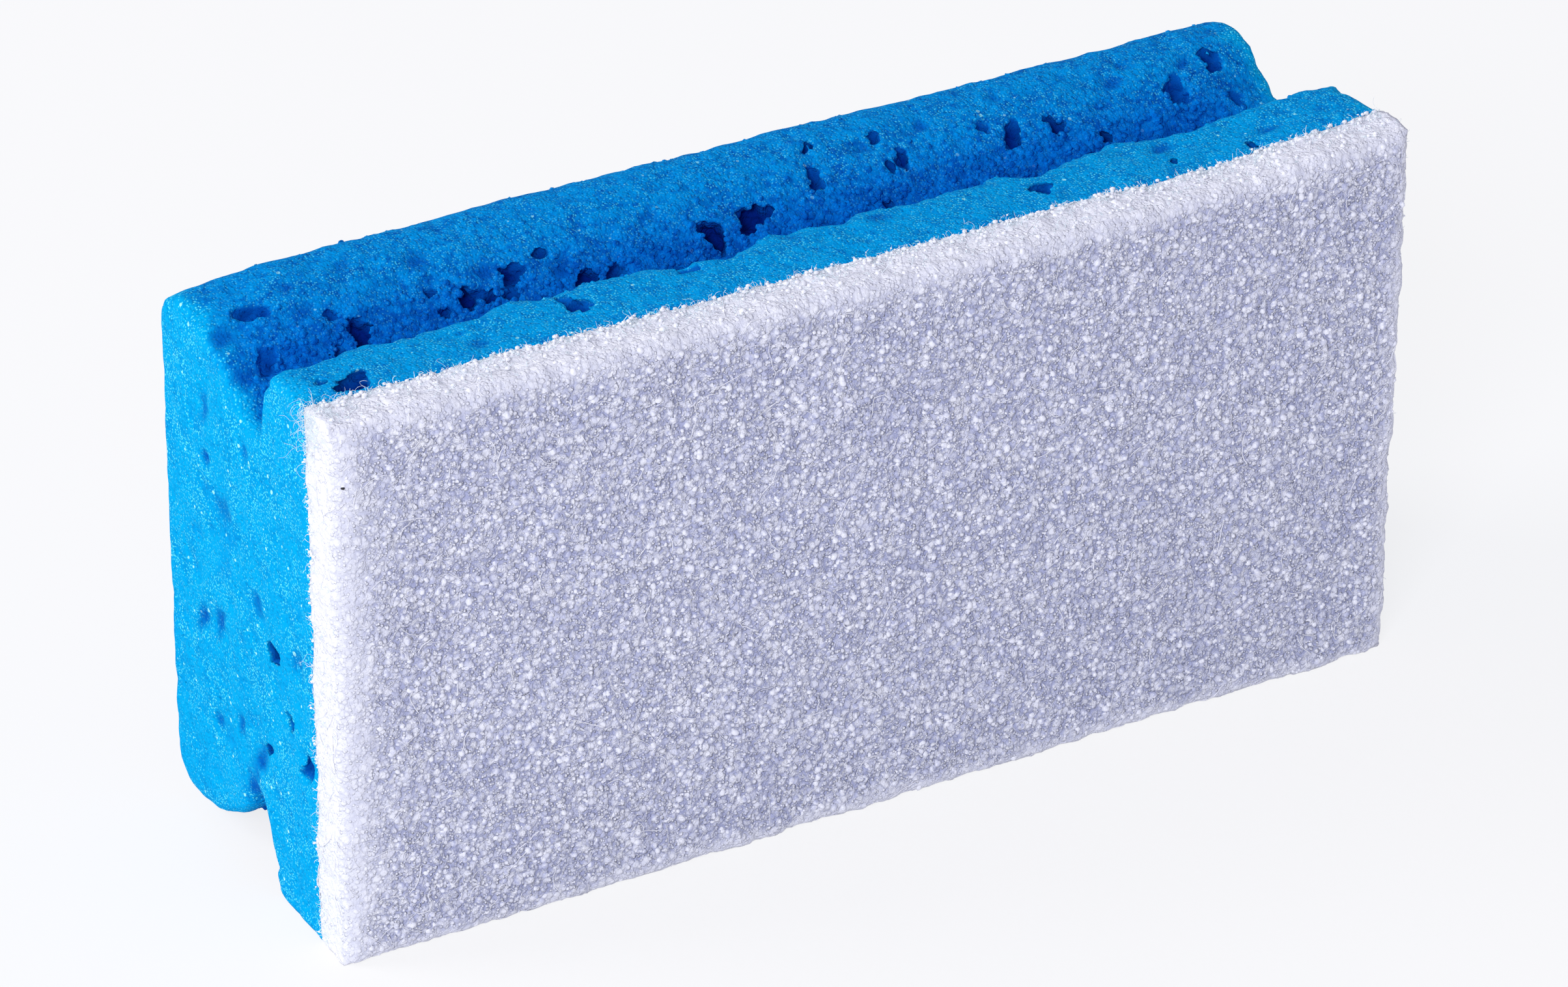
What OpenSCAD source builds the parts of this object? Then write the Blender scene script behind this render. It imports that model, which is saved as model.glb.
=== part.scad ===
// A cleaning sponge: a block of open foam with a finger groove along each long
// side, and a white scouring pad over its whole front. It stands on a long edge,
// with its length along X, the pad towards -Y and its height along Z. The origin
// is at the middle of its footprint. All sizes are in millimetres.

/* [Sponge] */
// Length of the foam and of the pad
sponge_l = 147; // [110:1:200]
// Height of the foam and of the pad, standing on a long edge
sponge_h = 71.5; // [56:0.5:100]

/* [Scouring pad] */
// Thickness of the pad
pad_t = 6.5; // [3:0.1:10]
// Rounding of the edges round the pad's front face
pad_edge_r = 1.6; // [0.5:0.1:2.5]
// Rounding of the pad's four corners, seen from the front
pad_corner_r = 2; // [0.5:0.1:4]

/* [Foam block] */
// Thickness of the foam slab behind the pad, at its long edges
slab_t = 11.8; // [8:0.1:18]
// Depth of the grip, from the mouth of the grooves to the back
grip_t = 26.7; // [22:0.1:36]
// Rounding along the two long edges of the back
back_r = 5.5; // [2:0.1:7]

/* [Finger grooves] */
// Depth of each groove below its long edge
groove_d = 10; // [7:0.1:11]
// How far the slab's wall leans into the groove, from mouth to foot
wall_lean = 2.2; // [0:0.1:3]
// Width of the groove's foot, between the slab's wall and the grip's shoulder
foot_w = 2.8; // [2:0.1:4]
// Rounding between the slab's wall and the foot
foot_r = 1.4; // [0.5:0.1:1.9]

/* [Open cells] */
// Radius of a middling open cell
cell_r = 1.6; // [0.8:0.1:2]
// How much the cells' radii differ, as a share of the middling one
cell_spread = 0.45; // [0:0.05:0.6]
// How far a cell's centre lies under the surface, as a share of its radius
cell_sink = 0.25; // [0:0.05:0.4]
// Least foam left between a cell and the edge of its face
cell_margin = 2.5; // [2:0.5:5]
// Cells along each shoulder of the grip
shoulder_cells = 15; // [2:1:20]
// Cells in each end of the grip
end_cells = 9; // [2:1:12]
// Cells in the back
back_cells = 12; // [2:1:16]
// Cells along each long edge of the slab
slab_cells = 5; // [2:1:8]

/* [Hidden] */
$fn = 96;
over = 1;

// How far a cell's cut corners stand out, and the smaller cell that opens off every
// other one: its distance and its size, all as shares of the cell's radius
blunt = 1.12;
lobe_step = 0.95;
lobe_share = 0.6;

// Places across the sponge, counted from the pad's front face
slab_y = pad_t;
mouth_y = slab_y + slab_t;
foot_y = mouth_y + wall_lean;
back_y = mouth_y + grip_t;
crest_y = back_y - back_r;

// The shoulder is one arc, level at the crest and ending at the far side of the foot
shoulder_run = crest_y - foot_y - foot_w;
shoulder_r = (shoulder_run * shoulder_run + groove_d * groove_d) / (2 * groove_d);
shoulder_end = asin(shoulder_run / shoulder_r);

// The wall's lean as an angle, and the centre of the rounding at its foot
lean = atan(wall_lean / groove_d);
foot_at = [foot_y - foot_r * tan(lean) + foot_r / cos(lean), sponge_h - groove_d + foot_r];

// Seeded numbers from 0 to 1, so that the cells lie the same way at every build
function shares(n, seed) = rands(0, 1, n, seed);
function between(low, high, part) = low + (high - low) * part;
function cell_size(part) = cell_r * between(1 - cell_spread, 1 + cell_spread, part);
cell_edge = cell_size(1) + cell_margin;

// Each of n cells along the sponge has a stretch of its own, so that no two meet
function along(i, n, part) =
    between(-sponge_l / 2 + cell_edge, sponge_l / 2 - cell_edge, (i + between(0.3, 0.7, part)) / n);

// Places across an end, a golden section apart, so that neighbours stand clear
golden = (sqrt(5) - 1) / 2;
function across(i, part) = part + i * golden - floor(part + i * golden);

// Extrudes a section drawn as depth by height over the whole length
module over_length() {
    translate([-sponge_l / 2, -back_y / 2, 0])
        rotate([90, 0, 90])
            linear_extrude(sponge_l)
                children();
}

// The upper groove, cut square by the slab's wall and round by the shoulder
module groove_section() {
    difference() {
        union() {
            polygon([
                [mouth_y - over * tan(lean), sponge_h + over],
                foot_at - foot_r * [cos(lean), sin(lean)],
                foot_at - [0, foot_r],
                [crest_y, sponge_h - groove_d],
                [crest_y, sponge_h + over]
            ]);
            translate(foot_at)
                circle(foot_r);
        }
        translate([crest_y, sponge_h - shoulder_r])
            circle(shoulder_r, $fn = 180);
    }
}

// The foam's outline before the grooves are cut
module block_section() {
    translate([slab_y, 0])
        square([crest_y - slab_y, sponge_h]);
    translate([slab_y, back_r])
        square([back_y - slab_y, sponge_h - 2 * back_r]);
    for (z = [back_r, sponge_h - back_r])
        translate([crest_y, z])
            circle(back_r);
}

module foam_section() {
    difference() {
        block_section();
        groove_section();
        translate([0, sponge_h])
            mirror([0, 1])
                groove_section();
    }
}

// The shape that packed bubbles press each other into: twelve diamonds, with the
// six sharp corners cut off. Its flats lie at the distance r from its middle.
module bubble(r) {
    wide = 4 * r;
    intersection() {
        cube(2 * blunt * r, center = true);
        rotate([45, 0, 0])
            cube([wide, 2 * r, 2 * r], center = true);
        rotate([0, 45, 0])
            cube([2 * r, wide, 2 * r], center = true);
        rotate([0, 0, 45])
            cube([2 * r, 2 * r, wide], center = true);
    }
}

// One open cell at a point of the surface, counted from the pad's front face and
// the base. facing turns +Z to point out of the foam there, and part picks its size.
// Every other cell has broken into a smaller one beside it.
module cell(at, facing, part, i) {
    r = cell_size(part);
    translate(at - [0, back_y / 2, 0])
        rotate(facing) {
            translate([0, 0, -cell_sink * r])
                rotate([180 * part, 70 * i, 0])
                    bubble(r);
            if (i % 2 == 0)
                rotate([0, 0, 360 * part])
                    translate([lobe_step * r, 0, 0])
                        rotate([50 * i, 180 * part, 0])
                            bubble(lobe_share * r);
        }
}

// Cells that follow the shoulder's arc, on the upper side or the lower side
module shoulder_row(upper, seed) {
    x = shares(shoulder_cells, seed);
    turn = shares(shoulder_cells, seed + 1);
    size = shares(shoulder_cells, seed + 2);
    for (i = [0 : shoulder_cells - 1]) {
        angle = shoulder_end * between(0.2, 0.85, turn[i]);
        y = crest_y - shoulder_r * sin(angle);
        drop = shoulder_r * (1 - cos(angle));
        z = upper ? sponge_h - drop : drop;
        cell([along(i, shoulder_cells, x[i]), y, z], [upper ? angle : 180 - angle, 0, 0], size[i], i);
    }
}

// Cells in the cut face at one end, side -1 or 1, between the two grooves
module end_patch(side, seed) {
    size = shares(end_cells, seed);
    for (i = [0 : end_cells - 1]) {
        y = between(slab_y + cell_edge, back_y - cell_edge, across(i, size[0]));
        z = between(groove_d + cell_edge, sponge_h - groove_d - cell_edge, (i + 0.5) / end_cells);
        cell([side * sponge_l / 2, y, z], [0, side * 90, 0], size[i], i);
    }
}

module back_patch(seed) {
    up = shares(back_cells, seed);
    size = shares(back_cells, seed + 1);
    for (i = [0 : back_cells - 1]) {
        z = between(back_r + cell_edge, sponge_h - back_r - cell_edge, up[i]);
        cell([along(i, back_cells, size[i]), back_y, z], [-90, 0, 0], size[i], i);
    }
}

// Small cells in one long edge of the slab, at height z
module slab_row(upper, seed) {
    x = shares(slab_cells, seed);
    depth = shares(slab_cells, seed + 1);
    for (i = [0 : slab_cells - 1]) {
        y = slab_y + slab_t * between(0.4, 0.6, depth[i]);
        cell([along(i, slab_cells, x[i]), y, upper ? sponge_h : 0], [upper ? 0 : 180, 0, 0], 0, 2 * i + 1);
    }
}

module foam_block() {
    color([0.02, 0.56, 0.86])
        difference() {
            over_length()
                foam_section();
            shoulder_row(true, 11);
            shoulder_row(false, 21);
            end_patch(-1, 31);
            end_patch(1, 41);
            back_patch(51);
            slab_row(true, 61);
            slab_row(false, 71);
        }
}

// A rectangle with a radius on each of two corners, the ones at its low y
module soft_front(w, t, r) {
    translate([0, r])
        square([w, t - r]);
    translate([r, 0])
        square([w - 2 * r, t]);
    for (x = [r, w - r])
        translate([x, r])
            circle(r);
}

// The pad's face, with its four corners rounded
module pad_face() {
    for (x = [pad_corner_r, sponge_l - pad_corner_r], z = [pad_corner_r, sponge_h - pad_corner_r])
        translate([x, z])
            circle(pad_corner_r);
    translate([pad_corner_r, 0])
        square([sponge_l - 2 * pad_corner_r, sponge_h]);
    translate([0, pad_corner_r])
        square([sponge_l, sponge_h - 2 * pad_corner_r]);
}

// The pad is the part that its face, its top view and its end view have in common
module scouring_pad() {
    color([0.92, 0.92, 0.96])
        translate([-sponge_l / 2, -back_y / 2, 0])
            intersection() {
                translate([0, pad_t, 0])
                    rotate([90, 0, 0])
                        linear_extrude(pad_t)
                            pad_face();
                linear_extrude(sponge_h)
                    soft_front(sponge_l, pad_t, pad_edge_r);
                translate([0, 0, sponge_h])
                    rotate([0, 90, 0])
                        linear_extrude(sponge_l)
                            soft_front(sponge_h, pad_t, pad_edge_r);
            }
}

foam_block();
scouring_pad();
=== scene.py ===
import math
import random

import bmesh
import bpy
from bpy.props import FloatProperty, FloatVectorProperty, IntProperty
from mathutils import Matrix, Vector, noise
from mathutils.bvhtree import BVHTree
from mathutils.kdtree import KDTree


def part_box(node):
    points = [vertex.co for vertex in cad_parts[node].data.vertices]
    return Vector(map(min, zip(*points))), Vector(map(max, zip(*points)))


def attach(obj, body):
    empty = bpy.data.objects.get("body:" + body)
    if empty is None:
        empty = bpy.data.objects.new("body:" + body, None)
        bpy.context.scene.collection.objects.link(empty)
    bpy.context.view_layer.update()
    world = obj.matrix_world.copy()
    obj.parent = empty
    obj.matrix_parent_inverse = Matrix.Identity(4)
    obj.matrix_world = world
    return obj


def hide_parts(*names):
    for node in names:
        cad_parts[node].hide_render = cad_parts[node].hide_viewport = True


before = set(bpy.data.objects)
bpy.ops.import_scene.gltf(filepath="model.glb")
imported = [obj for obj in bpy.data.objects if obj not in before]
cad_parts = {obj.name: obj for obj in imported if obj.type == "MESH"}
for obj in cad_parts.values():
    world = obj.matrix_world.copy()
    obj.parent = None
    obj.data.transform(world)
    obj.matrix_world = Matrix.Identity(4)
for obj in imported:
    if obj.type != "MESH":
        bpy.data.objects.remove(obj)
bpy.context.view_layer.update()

bl_info = {
    "name": "Cleaning sponge",
    "version": (1, 0, 0),
    "blender": (4, 5, 0),
    "location": "3D View > Sidebar > Sponge",
    "description": "Makes a grooved foam cleaning sponge with a white scouring pad",
    "category": "Add Mesh",
}

# The solids' boxes, in metres: the whole sponge, its foam block and its pad
FOAM_LOW, FOAM_HIGH = (Vector(corner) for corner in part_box("foam_block"))
PAD_LOW, PAD_HIGH = (Vector(corner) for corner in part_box("scouring_pad"))
FRONT_Y = PAD_LOW.y
MM = 0.001

# Coarse cells that show in the photograph, in millimetres. On the upper shoulder:
# x, distance from the pad's face, radius, stretch, turn in degrees, depth.
SHOULDER_CELLS = (
    (-67.4, 33.4, 1.3, 1.6, -12, 1.5), (-72.0, 31.0, 1.7, 1.2, 20, 0.7), (-58.5, 30.1, 0.8, 1.1, 0, 1.2),
    (-56.0, 27.4, 1.7, 1.3, 60, 2.0), (-59.5, 26.2, 1.1, 1.2, 0, 1.0), (-68.5, 26.9, 1.3, 1.4, 80, 1.3),
    (-71.5, 26.3, 1.2, 1.2, 0, 0.7), (-62.0, 31.6, 1.2, 1.3, 0, 0.6), (-54.0, 36.5, 1.3, 1.2, 0, 0.6),
    (-45.5, 34.0, 1.5, 1.2, 30, 0.7), (-46.0, 29.6, 0.7, 1.2, 0, 1.1), (-45.0, 27.3, 0.9, 1.2, 0, 1.0),
    (-41.5, 28.2, 1.5, 1.1, 10, 1.8), (-38.2, 30.4, 1.3, 1.1, 0, 0.9), (-38.6, 27.5, 1.0, 1.1, 0, 1.2),
    (-36.2, 27.3, 1.0, 1.3, 30, 1.2), (-35.3, 29.4, 1.4, 1.1, 0, 1.5), (-28.5, 28.4, 1.3, 1.2, 80, 0.9),
    (-26.0, 27.2, 1.1, 1.5, 0, 1.5), (-22.4, 27.1, 1.1, 1.6, 10, 1.4), (-15.5, 31.8, 1.0, 1.3, 20, 0.6),
    (-8.2, 27.9, 1.6, 1.3, 100, 2.7), (-2.3, 28.8, 1.7, 1.4, 35, 2.5), (-6.0, 32.0, 0.7, 1.3, 0, 0.6),
    (2.0, 33.8, 0.9, 1.2, 0, 0.6), (7.8, 31.5, 1.1, 2.0, 80, 1.2), (17.8, 30.6, 0.8, 1.2, 60, 1.0),
    (20.0, 31.0, 0.9, 2.3, 75, 1.2), (15.5, 33.8, 1.1, 1.2, 0, 0.6), (25.0, 35.3, 1.1, 1.3, 80, 0.8),
    (35.5, 30.4, 1.3, 1.6, 70, 1.5), (41.5, 30.1, 1.2, 1.5, 95, 1.3), (47.0, 27.4, 1.3, 1.2, 0, 1.0),
    (52.0, 34.0, 1.3, 1.2, 0, 0.8), (59.5, 30.6, 1.4, 1.6, 60, 1.3), (67.0, 33.6, 1.4, 1.5, 80, 1.3),
    (67.5, 28.6, 1.3, 1.4, 90, 1.2),
)
# In the slab's upper edge: the same
SLAB_CELLS = (
    (-66.5, 9.2, 2.0, 1.3, 25, 1.9), (-35.0, 13.2, 1.3, 2.3, 115, 1.2), (-49.0, 11.0, 1.2, 1.3, 0, 0.6),
    (-19.0, 16.8, 1.3, 1.7, 80, 1.3), (-13.0, 18.9, 2.2, 1.6, 0, 1.6), (7.0, 15.2, 1.2, 1.6, 0, 0.6),
    (28.0, 12.2, 1.4, 1.3, 40, 1.1), (46.0, 14.0, 1.1, 1.5, 0, 0.8), (60.0, 11.0, 1.0, 1.3, 0, 0.8),
)
# In the left end: distance from the pad's face, height, then the same
END_CELLS = (
    (17.0, 34.0, 1.4, 1.2, 0, 2.4), (36.5, 29.0, 1.0, 2.3, 65, 0.8), (31.5, 31.0, 1.0, 2.4, 65, 0.8),
    (30.0, 47.0, 2.0, 1.3, 0, 0.5), (11.0, 36.0, 1.5, 1.3, 50, 0.5), (21.0, 38.5, 1.5, 1.3, 60, 0.5),
    (33.0, 16.5, 0.9, 1.7, 65, 0.8), (27.0, 19.0, 0.8, 2.4, 65, 0.7), (13.0, 26.6, 1.1, 1.1, 0, 1.3),
    (21.5, 17.0, 1.2, 1.8, 60, 0.7), (8.8, 22.6, 1.5, 1.4, 60, 1.2), (34.0, 58.5, 1.3, 2.0, 70, 0.6),
    (24.0, 11.6, 1.9, 1.5, 60, 0.8),
)


def a_length(name, description, default):
    return FloatProperty(name=name, description=description, default=default, unit="LENGTH")


def an_angle(name, description, degrees):
    return FloatProperty(
        name=name, description=description, default=math.radians(degrees), subtype="ANGLE")


def a_power(name, description, default):
    return FloatProperty(name=name, description=description, default=default)


def a_count(name, description, default):
    return IntProperty(name=name, description=description, default=default)


def a_colour(name, description, default):
    return FloatVectorProperty(
        name=name, description=description, default=default, subtype="COLOR", size=4)


class FoamLook(bpy.types.PropertyGroup):
    """Sizes and colours of the foam block."""

    slab_t: a_length("Slab thickness", "Foam between the pad and the mouth of the grooves", 0.0118)
    groove_d: a_length("Groove depth", "Depth of each finger groove", 0.010)
    wall_lean: a_length("Wall lean", "How far the slab's wall leans into the groove", 0.0022)
    foot_w: a_length("Foot width", "Width of the groove's foot", 0.0028)
    back_r: a_length("Back rounding", "Rounding of the back's long edges", 0.0055)
    mesh_size: a_length("Mesh size", "Spacing of the foam's mesh", 0.00075)
    softness: a_count("Softness", "Rounds of smoothing that soften the cut edges", 6)
    knobs: a_count("Knobs", "Knobs of torn cell wall, most of them in the grooves", 9000)
    skin: a_colour("Foam", "Colour of the freshly cut ends", (0.0, 0.42, 0.78, 1))
    # Painted shade: the darker colour of the grooves, given in part to the slab and the grip as well
    groove: a_colour("Grooves", "Colour down in the grooves", (0.0, 0.19, 0.67, 1))
    # Painted shade: what the foam darkens to between its knobs, in its fine cells and under the rims of
    # its coarse cells
    shade: a_colour("Fine cells", "Colour inside the fine cells", (0.0, 0.095, 0.45, 1))
    # Painted shade at the bottom of the coarse cells
    cell_bottom_shade: a_colour("Deep cells", "Colour at the bottom of the coarse cells", (0.0, 0.016, 0.22, 1))
    # Painted highlights: the glints and sparks on the cell walls
    glint: a_colour("Glints", "Colour of the cell walls that catch the light", (0.12, 0.88, 1.0, 1))
    spark: a_colour("Sparks", "Colour of the few brightest cell walls", (0.42, 0.97, 0.95, 1))


class PadLook(bpy.types.PropertyGroup):
    """Sizes and colours of the scouring pad."""

    edge_depth: a_length("Edge depth", "How far the face falls back at its edge", 0.0011)
    edge_reach: a_length(
        "Edge reach", "How far in from its edge the face starts to fall back", 0.0026)
    # Partly bare white fibre and partly painted light, as the band is widest on the left, where the
    # light falls
    pale_lit_edge: a_length(
        "Pale edge", "Width of the band of bare white fibre round the face", 0.0018)
    mesh_size: a_length("Mesh size", "Spacing of the pad's mesh", 0.00038)
    nodules: a_count("Nodules", "Drops of binder on the pad's face", 8200)
    drops: a_count("Drops", "Drops of binder on the fuzz along the pad's edges", 1700)
    fibre_r: a_length("Fibre radius", "Radius of a loose fibre", 0.00003)
    fuzz: a_count("Fuzz", "Short curls that stand off the pad's edges", 3900)
    loops: a_count(
        "Loops", "Long curls that hang off the pad's edges, and as many again at its upper corners", 110)
    strands: a_count("Strands", "Fibres that lie on the pad's face", 1500)
    fibre: a_colour("Fibre", "Colour of the fibres and the binder on them", (0.96, 0.96, 0.98, 1))
    # Painted shade, with the bluish light in it: the felt between the fibres and the beads
    gap: a_colour("Gaps", "Colour between the fibres", (0.445, 0.47, 0.65, 1))
    # Painted light: the pale cyan stands for blue light from the foam that shows through the thin white
    # fibres
    stray_foam_lit: a_colour(
        "Stray fibre", "Colour of the thin fibres that stand off the pad", (0.86, 0.98, 1.0, 1))


class StageLook(bpy.types.PropertyGroup):
    """The floor, the lamps and the camera."""

    floor: a_colour("Floor", "Colour of the floor", (0.90, 0.90, 0.91, 1))
    azimuth: an_angle("Azimuth", "Turn of the camera about the vertical", -30.67)
    elevation: an_angle("Elevation", "Height of the camera as an angle", 29.37)
    roll: an_angle("Roll", "Turn of the camera about its own line of sight", 0.474)
    distance: a_length("Distance", "From the camera to the point it looks at", 0.7918)
    aim: FloatVectorProperty(
        name="Aim", description="The point that the camera looks at", subtype="TRANSLATION",
        default=(-0.0019, -0.0006, 0.0331))
    lens: FloatProperty(name="Lens", description="Focal length in millimetres", default=149.0)
    key: a_power("Key lamp", "Power of the soft lamp on the left", 8.7)
    fill: a_power("Fill lamp", "Power of the smaller lamp in front", 9.0)
    sky: a_power("Sky", "Strength of the light from all round", 0.44)


def ease(part):
    """0 below 0, 1 above 1, and smooth between them."""
    part = min(max(part, 0.0), 1.0)
    return part * part * (3 - 2 * part)


def ripple(place, size, height):
    """Smooth bumps and hollows, up to height tall and about size across."""
    return height * noise.noise(Vector(place) / size)


def hump(x, middle, width, height):
    """A smooth hump, as tall as height where x is at its middle."""
    return height * math.exp(-((x - middle) / width) ** 2)


def noise_place(rng):
    """A seeded place to read the noise at, so that no two shapes are alike."""
    return Vector([rng.uniform(0, 99) for _ in range(3)])


def any_way(rng):
    """A seeded direction."""
    return Vector((rng.gauss(0, 1), rng.gauss(0, 1), rng.gauss(0, 1))).normalized()


def worked(operation, swapped=False):
    """A method that puts a value and another number through one kind of maths node."""
    def method(self, other=0.0):
        first, second = (other, self) if swapped else (self, other)
        node = self.finish.node("ShaderNodeMath", {"operation": operation}, {0: first, 1: second})
        return Value(self.finish, node.outputs[0])
    return method


class Value:
    """A number that varies over a surface: a shader socket that can be reckoned with."""

    def __init__(self, finish, socket):
        self.finish = finish
        self.socket = socket

    __add__ = worked("ADD")
    __radd__ = __add__
    __mul__ = worked("MULTIPLY")
    __rmul__ = __mul__
    __sub__ = worked("SUBTRACT")
    __rsub__ = worked("SUBTRACT", swapped=True)
    __gt__ = worked("GREATER_THAN")
    __abs__ = worked("ABSOLUTE")
    least = worked("MINIMUM")
    most = worked("MAXIMUM")

    def step(self, low, high):
        """0 below low, 1 above high, and smooth between them."""
        node = self.finish.node(
            "ShaderNodeMapRange", {"interpolation_type": "SMOOTHSTEP"},
            {"Value": self, "From Min": low, "From Max": high})
        return Value(self.finish, node.outputs[0])


class Finish:
    """One material, whose nodes are all added by one method."""

    def __init__(self, name, **constants):
        self.material = bpy.data.materials.new(name)
        self.material.use_nodes = True
        self.tree = self.material.node_tree
        self.surface = self.tree.nodes["Principled BSDF"]
        for socket, value in constants.items():
            self.surface.inputs[socket.replace("_", " ")].default_value = value
        coordinates = self.node("ShaderNodeTexCoord")
        self.place = coordinates.outputs["Object"]

    def node(self, kind, settings=None, sockets=None):
        """Adds a node, with its settings and what goes into its sockets."""
        node = self.tree.nodes.new(kind)
        for key, value in (settings or {}).items():
            setattr(node, key, value)
        for key, value in (sockets or {}).items():
            socket = node.inputs[key]
            if isinstance(value, Value):
                value = value.socket
            if isinstance(value, bpy.types.NodeSocket):
                self.tree.links.new(value, socket)
            else:
                socket.default_value = value
        return node

    def attribute(self, name):
        """A number that the piece holds at each of its vertices."""
        node = self.node("ShaderNodeAttribute", {"attribute_name": name})
        return Value(self, node.outputs["Fac"])

    def grain(self, size, detail=2.0, roughness=0.5):
        """Cloudy noise from 0 to 1 whose features are about size across."""
        node = self.node(
            "ShaderNodeTexNoise", {},
            {"Vector": self.place, "Scale": 1 / size, "Detail": detail, "Roughness": roughness})
        return Value(self, node.outputs["Fac"])

    def cells(self, size):
        """How far the nearest of many centres is, about size apart, and that centre's own number."""
        node = self.node("ShaderNodeTexVoronoi", {}, {"Vector": self.place, "Scale": 1 / size})
        lot = self.node("ShaderNodeSeparateColor", {}, {"Color": node.outputs["Color"]})
        return Value(self, node.outputs["Distance"]), Value(self, lot.outputs["Red"])

    def mix(self, first, second, share):
        """A colour that goes from first to second as share goes from 0 to 1."""
        node = self.node("ShaderNodeMix", {"data_type": "RGBA"}, {0: share, 6: first, 7: second})
        return node.outputs[2]

    def finish(self, colour, height=None, depth=0.0):
        """Gives the surface its colour, and height as a bump that is as deep as depth."""
        self.tree.links.new(colour, self.surface.inputs["Base Color"])
        if height is not None:
            bump = self.node(
                "ShaderNodeBump", {}, {"Strength": 1.0, "Distance": depth, "Height": height})
            self.tree.links.new(bump.outputs["Normal"], self.surface.inputs["Normal"])
        return self.material


def foam_finish(look):
    """Open-cell foam: knobs, painted shade between them and in the cells, fine flecks and sparks on the
    cell walls as painted highlights, and navy painted shade down in the coarse cells.
    """
    foam = Finish("blue_foam", Roughness=0.9, Specular_IOR_Level=0.03)
    groove = foam.attribute("groove_share")
    depth = foam.attribute("cell_depth")
    knob, _ = foam.cells(1.1 * MM)
    fine, fine_lot = foam.cells(0.46 * MM)
    finest, finest_lot = foam.cells(0.32 * MM)
    dot, dot_lot = foam.cells(1.5 * MM)
    cloud = foam.grain(3.4 * MM, detail=3.0)
    mottle = foam.grain(0.8 * MM, detail=3.0, roughness=0.6)
    # Painted shade between the knobs and inside the fine cells, and darker cloudy patches, all strongest
    # in the grooves
    gaps = knob.step(0.35, 0.75) * (0.06 + 0.6 * groove)
    hollow = (1 - fine.step(0.15, 0.5)) * fine_lot * 0.35
    patches = (cloud - 0.46) * (0.7 + 1.3 * groove) + (mottle - 0.5) * (0.6 + 2.2 * groove)
    shade = gaps + hollow + patches
    # Painted shade: the foam darkens towards the groove colour a little on the slab, more on the grip
    # and most in the grooves, and keeps its own colour on the lit ends
    cut = foam.mix(tuple(look.skin), tuple(look.groove), groove)
    skin = foam.mix(cut, tuple(look.shade), shade.most(0.0).least(0.9))
    # Painted highlights on lit cell walls: fine flecks and larger motes, which lie in clumps, and a few
    # bright sparks
    clumps = cloud.step(0.38, 0.62)
    fleck_glint = (1 - finest.step(0.16, 0.46)) * (finest_lot > 0.4) * (0.35 + 0.65 * clumps)
    mote_glint = (1 - fine.step(0.14, 0.36)) * (fine_lot > 0.62) * (0.55 + 0.45 * clumps)
    spark = (0.6 * dot_lot - 0.42 + 0.35 * (cloud - 0.46) - dot).step(0.0, 0.06)
    glinting = foam.mix(skin, tuple(look.glint), fleck_glint.most(mote_glint) * (1 - 0.85 * groove))
    lit = foam.mix(glinting, tuple(look.spark), spark * (1 - 0.9 * groove))
    # Painted shade in the coarse cells, from just under their rim to their bottom
    shadow = foam.mix(lit, tuple(look.shade), depth.step(0.03, 0.55) * 0.9)
    colour = foam.mix(shadow, tuple(look.cell_bottom_shade), depth.step(0.4, 2.0) * 0.95)
    height = (0.5 + 0.9 * groove) * mottle - 0.6 * knob.step(0.2, 0.8) * groove
    height = height + 0.4 * fine.step(0.0, 0.6) + 0.4 * finest
    return foam.finish(colour, height=height, depth=0.24 * MM)


def felt_finish(look):
    """The pad's own surface: drops of binder of three sizes and thin fibres over the painted shade of
    the felt's gaps.
    """
    felt = Finish("bonded_fibre", Roughness=0.5, Specular_IOR_Level=0.4)
    edge = felt.attribute("edge_share")
    cloud = felt.grain(3.4 * MM, detail=4.0)
    wisp = felt.grain(0.9 * MM, detail=2.0)
    thread = (1 - abs(wisp - 0.5) * 16).most(0.0)
    beads = None
    for size in (1.2 * MM, 0.72 * MM, 0.44 * MM):
        away, lot = felt.cells(size)
        drop = (1 - away.step(0.22, 0.64)) * (0.35 + 0.65 * lot)
        beads = drop if beads is None else beads.most(drop)
    middle = beads * 1.05 + thread * 0.2 + (cloud - 0.5) * 0.6 - 0.05
    # Bare fibre and painted light: the pale band round the face goes white
    pale = middle * (1 - edge) + (0.84 + 0.16 * beads) * edge
    colour = felt.mix(tuple(look.gap), tuple(look.fibre), pale.most(0.0).least(1.0))
    height = (beads + thread * 0.2) * (1 - 0.6 * edge)
    return felt.finish(colour, height=height, depth=0.34 * MM)


def fibre_finish(look, name, colour, roughness, dull=0.0):
    """Single fibres or drops of binder, some in full colour and some, in patches, dulled towards the
    felt's painted gap shade.
    """
    fibre = Finish(name, Roughness=roughness, Specular_IOR_Level=0.5)
    cloud = fibre.grain(1.1 * MM, detail=2.0)
    share = (1 - cloud.step(0.36, 0.58)) * (1 - fibre.attribute("edge_share")) * dull
    return fibre.finish(fibre.mix(tuple(colour), tuple(look.gap), share))


def crumb_finish():
    """A crumb of dirt caught in the pad."""
    crumb = Finish("crumb", Roughness=0.7)
    grain = crumb.grain(0.1 * MM)
    return crumb.finish(crumb.mix((0.008, 0.008, 0.012, 1), (0.03, 0.028, 0.03, 1), grain))


def floor_finish(look):
    """A pale floor that the camera sees as nearly white, and that keeps the shadow."""
    floor = Finish("pale_floor", Base_Color=tuple(look.floor), Roughness=0.9)
    rays = floor.node("ShaderNodeLightPath")
    seen = Value(floor, rays.outputs["Is Camera Ray"]).most(Value(floor, rays.outputs["Is Glossy Ray"]))
    white = floor.node("ShaderNodeEmission", {}, {"Color": (1, 1, 1, 1), "Strength": 1.0})
    both = floor.node("ShaderNodeMixShader", {}, {
        0: seen * 0.8, 1: floor.surface.outputs["BSDF"], 2: white.outputs["Emission"]})
    floor.tree.links.new(both.outputs["Shader"], floor.tree.nodes["Material Output"].inputs["Surface"])
    return floor.material


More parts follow.
